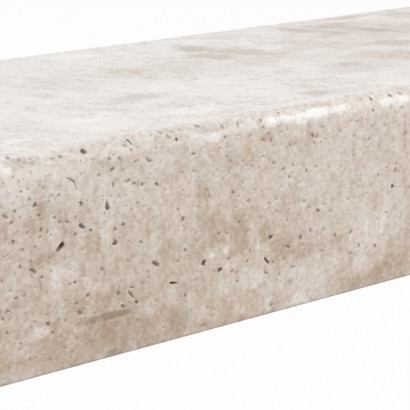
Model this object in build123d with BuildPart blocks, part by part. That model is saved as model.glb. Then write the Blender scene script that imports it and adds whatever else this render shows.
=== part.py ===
"""Cast concrete stair tread: a solid block step with a rounded nosing along its front top edge.

The frame has +X along the tread's length, +Y from the front face to the back, and +Z up.
The origin is the middle of the bed, the flat underside that sits on mortar.
"""

import os

from build123d import *

# Driving dimensions, in millimetres
length = 1000.0  # end to end, along X
going = 350.0  # front face to back face, along Y
rise = 150.0  # bed to walking surface, along Z
nosing_radius = 12.0  # rounding of the front top edge, where the foot lands
arris_radius = 2.0  # slight rounding that the mould leaves on every other edge

# The tread is cast in one pour, so its section runs unchanged from end to end
with BuildPart() as stair_tread:
    with BuildSketch(Plane.YZ) as section:
        Rectangle(going, rise, align=(Align.CENTER, Align.MIN))
        top_corners = section.vertices().group_by(Axis.Y)[-1]
        nosing_corner = top_corners.sort_by(Axis.X)[0]
        fillet(nosing_corner, radius=nosing_radius)
    extrude(amount=length / 2, both=True)

    # The moulded arrises: both end outlines, the two bed edges and the back top edge
    end_outlines = [
        edge for end_face in stair_tread.faces().filter_by(Axis.X) for edge in end_face.edges()
    ]
    long_edges = stair_tread.edges().filter_by(Axis.X)
    bed_edges = long_edges.group_by(Axis.Z)[0]
    back_top_edge = long_edges.group_by(Axis.Y)[-1].sort_by(Axis.Z)[-1]
    fillet([*end_outlines, *bed_edges, back_top_edge], radius=arris_radius)

stair_tread.part.label = "stair_tread"

os.makedirs("parts", exist_ok=True)
export_step(stair_tread.part, "parts/stair_tread.step")
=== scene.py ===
"""Looks of the cast concrete stair tread: a pitted and stained block with a worn, rounded nosing.

Lengths are metres in the part's own frame: +X along the tread, +Y from front to back, +Z up, with the
origin at the middle of the bed. Marks seen in the picture are named by their pixel, across and then down,
in its frame of 410 by 410, and are carried onto the block along the camera's line of sight.
"""

import logging
import math
import random
from dataclasses import dataclass, replace
from enum import Enum

import bmesh
import bpy
import numpy as np
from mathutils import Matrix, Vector


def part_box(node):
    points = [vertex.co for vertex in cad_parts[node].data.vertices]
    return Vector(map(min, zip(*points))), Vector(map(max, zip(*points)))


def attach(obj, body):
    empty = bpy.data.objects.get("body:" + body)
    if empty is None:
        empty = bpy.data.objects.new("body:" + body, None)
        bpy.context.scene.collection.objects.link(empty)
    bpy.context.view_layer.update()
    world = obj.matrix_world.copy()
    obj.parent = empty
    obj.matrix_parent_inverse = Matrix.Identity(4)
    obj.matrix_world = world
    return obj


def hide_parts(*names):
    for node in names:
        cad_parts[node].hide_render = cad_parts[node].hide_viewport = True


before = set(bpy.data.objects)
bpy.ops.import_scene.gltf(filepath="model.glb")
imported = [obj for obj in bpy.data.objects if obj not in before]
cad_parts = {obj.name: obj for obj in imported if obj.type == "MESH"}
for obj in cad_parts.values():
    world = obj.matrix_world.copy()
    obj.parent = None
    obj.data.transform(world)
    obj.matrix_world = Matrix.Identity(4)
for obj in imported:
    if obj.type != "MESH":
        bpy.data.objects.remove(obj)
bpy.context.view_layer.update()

TREAD_NODE = "stair_tread"
WAVED = "waved"  # vertex group: the skin that waves, all but the bed
HOLE_NUMBER = "hole_number"  # face attribute: which hole a face lies in, 0 on the open skin
HOLLOW = "hollow"  # corner attribute: painted shade in a pit, 1 deep down, 0 on the open skin, below 0 for a painted highlight on a lower lip
BAKE_MAP = "OFBake"  # UV map: the faces laid out flat
MM = 0.001
SEED = 20
PURE_WHITE = (1.0, 1.0, 1.0, 1.0)

log = logging.getLogger("stair_tread")

Pixel = tuple[float, float]
Span = tuple[float, float]
Triple = tuple[float, float, float]
Socket = bpy.types.NodeSocket
Feed = Socket | float | tuple


class Tone(Enum):
    """The colours that stain, bleach or bare the concrete, and the painted shade of its pits, as linear
    light.
    """

    BUFF = (0.690, 0.586, 0.500, 1.0)
    BLEACHED = (0.742, 0.712, 0.690, 1.0)
    # white also gives the painted highlight on the nosing's ridge and on the lower lips of pits
    WHITE = (0.940, 0.915, 0.890, 1.0)
    LIME = (0.880, 0.820, 0.765, 1.0)
    PALE = (0.782, 0.698, 0.634, 1.0)
    TAN = (0.590, 0.500, 0.415, 1.0)
    BROWN = (0.488, 0.366, 0.278, 1.0)
    DARK_BROWN = (0.330, 0.240, 0.170, 1.0)
    PINK = (0.690, 0.560, 0.500, 1.0)
    DUSTY = (0.600, 0.528, 0.480, 1.0)
    SOIL = (0.535, 0.470, 0.415, 1.0)
    OLIVE = (0.590, 0.540, 0.420, 1.0)
    GREY = (0.570, 0.528, 0.488, 1.0)
    ORANGE = (0.600, 0.440, 0.315, 1.0)
    # painted shade deep in the pits, browned like the dirt in them
    PIT_SHADE = (0.095, 0.046, 0.022, 1.0)


LONE_TONES = (Tone.DARK_BROWN, Tone.ORANGE)  # tones of marks too striking to show on more than one side


class Face(Enum):
    """The flat faces of the block, by their outward directions."""

    FRONT = (0.0, -1.0, 0.0)
    BACK = (0.0, 1.0, 0.0)
    LEFT_END = (-1.0, 0.0, 0.0)
    RIGHT_END = (1.0, 0.0, 0.0)
    TOP = (0.0, 0.0, 1.0)
    BED = (0.0, 0.0, -1.0)

    @property
    def outward(self) -> Vector:
        """The outward direction."""
        return Vector(self.value)


class PitGrade(Enum):
    """How a pit shows: its width and depth in metres, and how much shade is painted inside it."""

    FAINT = (2.2 * MM, 0.6 * MM, 0.24)
    MEDIUM = (2.5 * MM, 0.9 * MM, 0.36)
    DARK = (2.7 * MM, 1.3 * MM, 0.49)
    DEEP = (3.0 * MM, 2.2 * MM, 0.74)
    BLACK = (3.2 * MM, 3.2 * MM, 1.00)

    @property
    def width(self) -> float:
        """Width across the mouth."""
        return self.value[0]

    @property
    def depth(self) -> float:
        """Depth below the skin."""
        return self.value[1]

    @property
    def shade(self) -> float:
        """Painted shade inside, from 0 to 1."""
        return self.value[2]


@dataclass(frozen=True)
class Slot:
    """A long pit, seen from one end pixel to the other.

    Its width is in metres. It can bow sideways and get deeper towards its end, each as a share.
    """

    start: Pixel
    end: Pixel
    grade: PitGrade
    width: float
    bow: float = 0.0
    lean: float = 0.0


@dataclass(frozen=True)
class Stain:
    """A soft patch of another tone: its middle pixel, and its half length and half height in millimetres."""

    spot: Pixel
    reach: Span
    tone: Tone
    strength: float


@dataclass(frozen=True)
class Patch:
    """A stain laid on the block, with its middle and half sizes in millimetres.

    A lone one shows at its own place only, and any other is repeated on the sides that the picture hides.
    """

    middle: Vector
    reach: Triple
    tone: Tone
    strength: float
    lone: bool


def stains(tone: Tone, *marks: tuple[Pixel, Span, float]) -> tuple[Stain, ...]:
    """Gives stains of one tone.

    Args:
        tone: Their tone.
        *marks: Each one's middle pixel, half length and half height in millimetres, and strength.

    Returns:
        The stains, in the order given.
    """
    return tuple(Stain(spot, reach, tone, strength) for spot, reach, strength in marks)


# Short pits, by their middle pixels.
DEEP_PITS: tuple[Pixel, ...] = (
    (84, 151), (115, 243), (137, 302), (220, 270), (271, 237), (204, 263), (177, 139),
)

DARK_PITS: tuple[Pixel, ...] = (
    (35, 205), (115, 229), (278, 112), (233, 192), (42, 277), (318, 210), (123, 306), (359, 245),
    (118, 293), (373, 110), (157, 184), (29, 199), (7, 157), (60, 156), (21, 191), (3, 319), (39, 215),
    (15, 211), (11, 223), (91, 230), (41, 230), (47, 232), (261, 120), (13, 242), (20, 267), (301, 237),
    (75, 282), (88, 295), (375, 246), (371, 98), (168, 135), (112, 170), (123, 224), (185, 295),
    (232, 271), (237, 281), (225, 137), (75, 235), (335, 235), (48, 324), (16, 298), (80, 313), (197, 125),
    (88, 157),
)

MEDIUM_PITS: tuple[Pixel, ...] = (
    (110, 159), (263, 127), (250, 136), (141, 242), (283, 169), (227, 156), (239, 222), (171, 130),
    (66, 232), (22, 250), (35, 246), (8, 311), (70, 284), (76, 303), (38, 276), (10, 319), (2, 281),
    (131, 150), (119, 158), (99, 175), (134, 183), (219, 234), (58, 195), (185, 250), (229, 259),
    (344, 113), (250, 251), (248, 201), (222, 126), (259, 167), (243, 183), (269, 133), (271, 140),
    (290, 145), (317, 136), (402, 108), (181, 141), (274, 163), (289, 177), (247, 261), (269, 203),
    (400, 93), (340, 131), (95, 177), (372, 126), (378, 175), (403, 113), (304, 201), (350, 253), (7, 333),
    (53, 332), (65, 321), (271, 305), (310, 230), (40, 237), (24, 295), (125, 145), (160, 132), (59, 222),
    (178, 210), (30, 359),
)

FAINT_PITS: tuple[Pixel, ...] = (
    (40, 286), (52, 196), (178, 261), (295, 144), (316, 166), (121, 281), (95, 313), (209, 196),
    (321, 142), (357, 121), (17, 339), (128, 261), (287, 220), (239, 196), (238, 135), (194, 280),
    (199, 197), (360, 180), (331, 211), (355, 197), (377, 218), (137, 160), (59, 186), (197, 241),
    (15, 273), (35, 287), (85, 309), (183, 172), (84, 276), (10, 258), (10, 291), (27, 233), (83, 249),
    (263, 156), (149, 174), (165, 189), (111, 196), (119, 196), (186, 284), (126, 206), (131, 209),
    (144, 206), (125, 235), (159, 277), (325, 204), (133, 256), (341, 166), (156, 301), (138, 203),
    (148, 277), (43, 188), (227, 233), (250, 131), (221, 141), (204, 147), (252, 166), (231, 161),
    (293, 165), (254, 189), (217, 170), (221, 172), (229, 173), (194, 171), (64, 260), (196, 181),
    (207, 190), (32, 163), (189, 197), (164, 174), (214, 271), (281, 132), (287, 129), (325, 139),
    (323, 127), (123, 170), (282, 186), (49, 201), (220, 148), (361, 99), (351, 121), (385, 125),
    (354, 155), (387, 167), (284, 259), (269, 160), (300, 182), (276, 211), (276, 199), (299, 215),
    (309, 207), (144, 283), (325, 194), (278, 225), (308, 246), (302, 245), (163, 327), (348, 199),
    (386, 212), (35, 322), (50, 359), (36, 357), (21, 349), (74, 350), (273, 262), (95, 281), (291, 284),
    (279, 274), (237, 272), (210, 285), (207, 308), (214, 309), (203, 325), (210, 316), (296, 289),
    (12, 160), (24, 163), (314, 142), (29, 158),
)

# Long pits, by their end pixels.
SLOTS: tuple[Slot, ...] = (
    Slot((56.6, 250.8), (63.6, 242.8), PitGrade.BLACK, 3.0 * MM, lean=-0.3),
    Slot((106.4, 199.8), (108.5, 209.6), PitGrade.DEEP, 2.5 * MM, lean=0.9),
    Slot((68.0, 176.3), (77.6, 189.2), PitGrade.MEDIUM, 1.8 * MM, -0.32, -0.3),
    Slot((80.6, 222.3), (84.6, 228.0), PitGrade.DEEP, 3.1 * MM, 0.30),
    Slot((78.8, 201.2), (82.4, 204.8), PitGrade.DARK, 2.0 * MM, -0.30, 0.3),
    Slot((126.0, 137.7), (132.7, 143.7), PitGrade.DARK, 1.8 * MM, lean=0.2),
    Slot((152.5, 261.5), (159.0, 266.5), PitGrade.DEEP, 2.3 * MM, lean=0.35),
    Slot((170.0, 282.8), (177.5, 283.1), PitGrade.DEEP, 1.7 * MM, 0.1, -0.3),
    Slot((128.0, 290.2), (134.0, 298.0), PitGrade.DARK, 1.6 * MM, lean=0.2),
    Slot((29.5, 268.5), (36.2, 272.2), PitGrade.DARK, 2.5 * MM, lean=0.4),
    Slot((264.5, 257.0), (269.4, 262.6), PitGrade.DEEP, 1.8 * MM, lean=0.3),
    Slot((260.8, 137.4), (265.4, 141.0), PitGrade.MEDIUM, 2.0 * MM),
    Slot((236.6, 121.6), (239.0, 126.4), PitGrade.DARK, 2.1 * MM),
    Slot((388.2, 92.8), (391.6, 96.6), PitGrade.DEEP, 2.6 * MM),
    Slot((126.8, 181.4), (130.4, 178.6), PitGrade.DARK, 2.4 * MM),
    Slot((141.2, 182.2), (143.4, 185.8), PitGrade.DARK, 2.4 * MM),
    Slot((182.5, 216.8), (183.1, 221.8), PitGrade.DARK, 2.5 * MM),
    Slot((191.6, 154.1), (196.0, 153.3), PitGrade.MEDIUM, 1.9 * MM),
    Slot((350.6, 228.9), (350.4, 234.4), PitGrade.DARK, 2.7 * MM),
    Slot((321.2, 249.2), (323.4, 252.8), PitGrade.FAINT, 2.5 * MM),
    Slot((285.8, 245.2), (290.6, 246.8), PitGrade.DARK, 2.7 * MM),
    Slot((305.8, 172.6), (307.0, 168.4), PitGrade.MEDIUM, 2.5 * MM),
    Slot((394.2, 168.4), (396.4, 172.0), PitGrade.DARK, 2.7 * MM),
    Slot((146.2, 157.6), (150.8, 162.0), PitGrade.DARK, 2.1 * MM, lean=0.3),
    Slot((367.6, 141.0), (370.2, 136.4), PitGrade.MEDIUM, 2.2 * MM),
    Slot((402.8, 136.2), (406.4, 131.6), PitGrade.MEDIUM, 2.5 * MM),
    Slot((353.6, 133.4), (354.4, 137.6), PitGrade.FAINT, 2.1 * MM),
    Slot((312.3, 133.0), (312.7, 138.0), PitGrade.MEDIUM, 2.0 * MM),
    Slot((290.6, 266.8), (295.4, 266.4), PitGrade.MEDIUM, 2.3 * MM, -0.2),
    Slot((264.8, 271.8), (268.4, 274.2), PitGrade.MEDIUM, 2.4 * MM),
    Slot((13.6, 235.2), (18.0, 230.2), PitGrade.FAINT, 1.6 * MM, 0.22),
    Slot((3.0, 214.6), (7.6, 218.8), PitGrade.MEDIUM, 2.0 * MM),
    Slot((53.6, 215.8), (55.6, 219.4), PitGrade.MEDIUM, 2.0 * MM),
    Slot((66.0, 219.6), (68.4, 223.4), PitGrade.MEDIUM, 2.3 * MM),
    Slot((18.4, 156.6), (18.9, 160.4), PitGrade.MEDIUM, 1.8 * MM),
    Slot((27.2, 187.2), (27.7, 190.8), PitGrade.MEDIUM, 1.7 * MM),
    Slot((242.8, 159.0), (243.2, 163.6), PitGrade.FAINT, 1.8 * MM),
    Slot((322.9, 226.4), (324.5, 231.4), PitGrade.FAINT, 1.6 * MM),
    Slot((112.5, 186.8), (113.2, 181.6), PitGrade.MEDIUM, 1.7 * MM),
    Slot((50.2, 159.4), (54.0, 156.5), PitGrade.FAINT, 1.6 * MM),
    Slot((100.6, 267.2), (103.0, 270.8), PitGrade.MEDIUM, 2.3 * MM),
    Slot((129.8, 286.7), (133.8, 287.5), PitGrade.MEDIUM, 1.4 * MM),
    Slot((391.8, 184.4), (393.6, 187.2), PitGrade.DEEP, 3.0 * MM),
)

# Stains on the walking surface.
TOP_STAINS: tuple[Stain, ...] = (
    Stain((365, 30), (80, 90), Tone.DUSTY, 0.60),
    Stain((311, 43), (36, 36), Tone.DUSTY, 0.55),
    Stain((350, 44), (50, 26), Tone.DUSTY, 0.30),
    Stain((396, 54), (44, 40), Tone.DUSTY, 0.66),
    Stain((285, 50), (34, 16), Tone.DUSTY, 0.50),
    Stain((340, 24), (50, 16), Tone.SOIL, 0.50),
    Stain((222, 56), (16, 18), Tone.SOIL, 0.60),
    Stain((326, 55), (44, 34), Tone.DUSTY, 0.38),
    Stain((355, 66), (44, 28), Tone.GREY, 0.50),
    Stain((350, 16), (60, 8), Tone.SOIL, 0.50),
    Stain((105, 78), (90, 50), Tone.GREY, 0.18),
    Stain((220, 62), (90, 60), Tone.DUSTY, 0.20),
    Stain((94, 117), (30, 14), Tone.WHITE, 0.26),
    Stain((204, 107), (44, 16), Tone.WHITE, 0.24),
    Stain((193, 48), (20, 26), Tone.SOIL, 0.70),
    Stain((203, 55), (16, 18), Tone.SOIL, 0.70),
    Stain((243, 51), (24, 26), Tone.SOIL, 0.60),
    Stain((268, 55), (28, 20), Tone.SOIL, 0.36),
    Stain((256, 61), (30, 22), Tone.DUSTY, 0.45),
    Stain((124, 70), (24, 20), Tone.OLIVE, 0.52),
    Stain((136, 71), (9, 9), Tone.OLIVE, 0.50),
    Stain((154, 66), (12, 12), Tone.DUSTY, 0.25),
    Stain((147, 95), (22, 13), Tone.GREY, 0.54),
    Stain((120, 100), (24, 14), Tone.GREY, 0.36),
    Stain((38, 95), (13, 18), Tone.GREY, 0.50),
    Stain((70, 57), (34, 16), Tone.WHITE, 0.24),
    Stain((317, 92), (17, 12), Tone.SOIL, 0.62),
    Stain((293, 29), (14, 22), Tone.SOIL, 0.80),
    Stain((402, 14), (30, 20), Tone.SOIL, 0.50),
    Stain((373, 29), (13, 20), Tone.SOIL, 0.80),
    Stain((377, 43), (24, 20), Tone.SOIL, 0.40),
    Stain((402, 42), (24, 30), Tone.SOIL, 0.80),
    Stain((408, 73), (22, 16), Tone.GREY, 0.42),
    Stain((216, 37), (20, 14), Tone.DUSTY, 0.45),
    Stain((342, 17), (18, 12), Tone.SOIL, 0.85),
)

# Stains on the rounded nosing, with painted highlight along its lit ridge.
NOSING_STAINS_AND_HIGHLIGHTS: tuple[Stain, ...] = (
    *stains(
        Tone.SOIL,
        ((13, 163), (18, 5.0), 0.80),
    ),
    *stains(
        Tone.BLEACHED,
        ((45, 149), (55, 4.0), 0.70),
    ),
    # white worn spots, which also serve as painted highlight where the nosing's ridge faces the light
    *stains(
        Tone.WHITE,
        ((9, 141), (20, 8.0), 0.38), ((249, 124), (9, 3.6), 0.40), ((2, 171), (7, 6.0), 0.95),
        ((204, 139), (14, 4.0), 0.55), ((216, 136), (8, 4.0), 0.50), ((271, 121), (9, 4.0), 0.90),
        ((286, 118), (10, 3.6), 0.75), ((303, 117), (11, 4.8), 0.88), ((318, 112), (16, 4.6), 1.00),
        ((340, 108), (13, 3.8), 0.62), ((396, 107), (12, 3.6), 0.30), ((357, 107), (8, 3.6), 0.32),
        ((386, 101), (10, 4.0), 0.75), ((402, 99), (12, 4.4), 0.85),
    ),
    *stains(
        Tone.GREY,
        ((51, 158), (15, 3.0), 0.56), ((84, 151), (12, 3.0), 0.50), ((215, 126), (32, 3.8), 0.70),
        ((134, 142), (12, 4.5), 0.48),
    ),
    *stains(
        Tone.TAN,
        ((108, 161), (18, 5.0), 0.26),
    ),
)

# Pale marks, runs and lime on the front.
FRONT_PALE_STAINS: tuple[Stain, ...] = (
    *stains(
        Tone.PALE,
        ((393, 205), (18, 24), 0.55), ((359, 252), (9, 10), 0.75), ((380, 248), (11, 8), 0.55),
        ((89, 283), (11, 8), 0.56), ((200, 312), (12, 7), 0.40), ((223, 287), (9, 7), 0.70),
        ((12, 377), (22, 6), 0.55), ((285, 178), (11, 10), 0.75), ((300, 285), (40, 20), 0.75),
        ((350, 185), (75, 45), 0.45), ((45, 184), (52, 12), 0.65), ((12, 291), (8, 6), 0.40),
        ((150, 170), (22, 8), 0.42), ((24, 202), (8, 18), 0.64), ((53, 228), (4, 10), 0.65),
        ((105, 218), (6, 28), 0.80), ((154, 246), (3.5, 10), 0.70), ((158, 212), (5, 24), 0.50),
        ((174, 201), (8, 9), 0.40), ((68, 269), (9, 7), 0.80), ((26, 350), (15, 7), 0.60),
        ((2, 257), (7, 8), 0.50), ((407, 160), (9, 11), 0.65), ((146, 307), (11, 6), 0.50),
        ((173, 296), (9, 7), 0.40), ((251, 236), (2.6, 14), 0.35), ((230, 266), (10, 5), 0.50),
        ((252, 277), (20, 9), 0.75), ((270, 288), (2.6, 14), 0.75), ((298, 279), (2, 9), 0.60),
        ((318, 268), (5, 12), 0.65), ((334, 262), (9, 9), 0.58), ((330, 140), (2.4, 14), 0.60),
        ((397, 140), (3, 13), 0.65), ((252, 174), (2.4, 6), 0.45), ((366, 233), (26, 14), 0.68),
        ((398, 228), (9, 8), 0.66), ((386, 204), (4, 11), 0.65),
    ),
    *stains(
        Tone.LIME,
        ((361, 264), (11, 9), 0.55), ((298, 301), (12, 6), 0.76), ((114, 153), (14, 4.5), 0.65),
        ((40, 174), (18, 7), 0.52), ((9, 184), (16, 13), 0.45), ((57, 278), (5, 8), 0.75),
        ((41, 332), (8, 4.5), 0.60), ((212, 255), (4, 2), 0.85), ((226, 249), (2.8, 4), 0.85),
        ((258, 247), (2.2, 2), 0.70), ((255, 280), (10, 7), 0.48), ((269, 304), (6, 5), 0.50),
        ((242, 310), (3, 2), 0.50), ((366, 226), (2.6, 7), 0.85), ((380, 223), (7, 10), 0.85),
    ),
)

# Brown, olive and rusty marks and runs on the front.
FRONT_BROWN_STAINS: tuple[Stain, ...] = (
    *stains(
        Tone.BROWN,
        ((196, 248), (11, 9), 0.56), ((117, 292), (12, 7), 0.50), ((167, 310), (9, 7), 0.55),
        ((273, 239), (6, 5), 0.55), ((51, 343), (20, 7), 0.60), ((117, 165), (22, 7), 0.28),
        ((84, 213), (9, 8), 0.42), ((337, 198), (11, 13), 0.28), ((234, 171), (13, 18), 0.34),
        ((213, 153), (9, 7), 0.36), ((100, 225), (3, 18), 0.30), ((148, 236), (3, 14), 0.28),
        ((315, 207), (10, 10), 0.38), ((326, 276), (3, 12), 0.70), ((112, 303), (40, 15), 0.32),
        ((40, 202), (8, 11), 0.72), ((26, 220), (8, 7), 0.55), ((0, 233), (7, 16), 0.38),
        ((57, 217), (5, 8), 0.26), ((43, 258), (13, 4), 0.70), ((66, 227), (5, 8), 0.42),
        ((99, 243), (16, 10), 0.36), ((110, 270), (9, 9), 0.34), ((80, 304), (6, 9), 0.32),
        ((99, 331), (13, 8), 0.72), ((52, 327), (7, 5), 0.58), ((120, 331), (38, 12), 0.68),
        ((142, 343), (16, 4), 0.45), ((168, 251), (8, 7), 0.48), ((24, 365), (34, 5), 0.38),
        ((184, 169), (34, 8), 0.22), ((203, 211), (6, 28), 0.52), ((217, 228), (12, 15), 0.52),
        ((214, 236), (7, 13), 0.45), ((240, 232), (12, 18), 0.72), ((265, 231), (9, 9), 0.65),
        ((284, 246), (16, 10), 0.55), ((306, 250), (14, 6), 0.50), ((340, 236), (13, 5), 0.65),
        ((278, 285), (4, 16), 0.60), ((280, 300), (4, 5), 0.60), ((11, 308), (14, 5), 0.50),
        ((11, 358), (14, 6), 0.45), ((293, 141), (5, 4), 0.45), ((313, 135), (6, 4), 0.50),
        ((354, 146), (2.4, 13), 0.50), ((373, 130), (5, 9), 0.30), ((374, 201), (4, 10), 0.45),
        ((327, 284), (3.5, 4), 0.75), ((357, 281), (13, 4.5), 0.46), ((378, 273), (18, 7), 0.64),
        ((397, 259), (16, 7), 0.66),
    ),
    *stains(
        Tone.DARK_BROWN,
        ((113, 352), (9, 3), 0.55), ((111, 315), (29, 3.0), 0.76), ((178, 321), (12, 9), 0.42),
        ((204, 325), (4, 2), 0.50),
    ),
    *stains(
        Tone.OLIVE,
        ((201, 226), (2.4, 20), 0.50), ((248, 293), (2.2, 5), 0.70), ((340, 167), (2.2, 9), 0.60),
    ),
    *stains(
        Tone.ORANGE,
        ((201, 204), (3, 3), 0.70), ((242, 318), (4, 2), 0.70), ((266, 138), (8, 4), 0.55),
        ((249, 147), (6, 13), 0.42),
    ),
    *stains(
        Tone.PINK,
        ((390, 165), (8, 8), 0.40),
    ),
)


@dataclass(frozen=True)
class PictureCamera:
    """The camera that took the picture: its place in metres, its aim in degrees and its long lens.

    A pixel is numbered by its corner, so its middle lies half a pixel further across and down.
    """

    place: Triple = (-1.2295, -1.1733, 0.3951)
    yaw: float = 45.78
    pitch: float = 11.95
    focal_pixels: float = 2086.0
    picture_pixels: float = 410.0
    pixel_middle: float = 0.5
    sensor: float = 36.0

    def axes(self) -> tuple[Vector, Vector, Vector]:
        """Gives the camera's directions.

        Returns:
            The directions ahead, to the right and up.
        """
        yaw = math.radians(self.yaw)
        pitch = math.radians(self.pitch)
        level = math.cos(pitch)
        ahead = Vector((math.sin(yaw) * level, math.cos(yaw) * level, -math.sin(pitch)))
        right = Vector((math.cos(yaw), -math.sin(yaw), 0.0))
        return ahead, right, right.cross(ahead)

    def shows(self, point: Vector) -> bool:
        """Tells whether a point lies within the picture's frame.

        Args:
            point: The point, in the block's frame.

        Returns:
            Whether it does, even if something hides it.
        """
        ahead, right, up = self.axes()
        offset = point - Vector(self.place)
        reach = self.picture_pixels / 2 * offset.dot(ahead) / self.focal_pixels
        return max(abs(offset.dot(right)), abs(offset.dot(up))) < reach

    def sight(self, pixel: Pixel) -> Vector:
        """Gives the direction in which a pixel of the picture is seen.

        Args:
            pixel: Place in the picture, across and then down.

        Returns:
            The direction from the camera, of unit length.
        """
        ahead, right, up = self.axes()
        middle = self.picture_pixels / 2
        across = (pixel[0] + self.pixel_middle - middle) / self.focal_pixels
        above = (middle - pixel[1] - self.pixel_middle) / self.focal_pixels
        return (ahead + right * across + up * above).normalized()

    def build(self) -> None:
        """Adds the camera and makes it the scene's own."""
        aim = (math.pi / 2 - math.radians(self.pitch), 0.0, -math.radians(self.yaw))
        bpy.ops.object.camera_add(location=self.place, rotation=aim)
        camera = bpy.context.object
        camera.name = "picture_camera"
        camera.data.sensor_width = self.sensor
        camera.data.lens = self.focal_pixels / self.picture_pixels * self.sensor
        bpy.context.scene.camera = camera


@dataclass(frozen=True)
class Hollow:
    """One hole to cut in the skin: its middle, two directions, half sizes, depth, painted shade, bow and
    lean.

    A fine one is cut with fewer faces. The other fields say how light and shade are painted on its wall: how
    pale the painted highlight on its lower lip is, how far down it is painted all dark and how much sooner a
    dark one is, and how much less painted shade its lower wall gets, where the light falls. Its clearance is
    the room that it needs, as a share of its half width.
    """

    middle: Vector
    along: Vector
    outward: Vector
    half_length: float
    half_width: float
    depth: float
    shade: float
    bow: float = 0.0
    lean: float = 0.0
    fine: bool = False
    # how light and shade are painted on the wall: the highlight on the lower lip, the depth at which the
    # painted shade is full, and how much less of it the lower wall gets
    lip: float = 0.45
    all_dark: float = 0.85
    sooner_dark: float = 0.5
    lower_light: float = 0.35
    clearance: float = 1.6

    def darkness(self, point: Vector) -> float:
        """Tells how much shade is painted on a point of the hole's wall.

        Args:
            point: The point, in the block's frame.

        Returns:
            Up to 1 of painted shade deep down, 0 at the rim, and below 0 for a painted highlight on the lower
            lip, which catches the light.
        """
        offset = point - self.middle
        all_dark = self.all_dark - self.sooner_dark * self.shade
        sunk = min(max(-offset.dot(self.outward) / self.depth, 0.0) / all_dark, 1.0)
        # the lower side faces the light: less painted shade on its wall and a painted highlight at its lip
        low_side = min(max(-offset.z / self.half_width, 0.0), 1.0) * (1.0 - abs(self.outward.z))
        lit = self.lip * low_side * (1.0 - sunk) ** 2
        return self.shade * sunk * (1.0 - self.lower_light * low_side) - lit

    def footprint(self) -> list[tuple[Vector, float]]:
        """Gives the balls that cover the hole, so that no two holes run into each other.

        Returns:
            Each ball's middle and radius.
        """
        run = max(self.half_length - self.half_width, 0.0)
        radius = self.half_width * self.clearance + abs(self.bow) * self.half_length
        return [(self.middle + self.along * run * share, radius) for share in (-1.0, -0.5, 0.0, 0.5, 1.0)]


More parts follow.
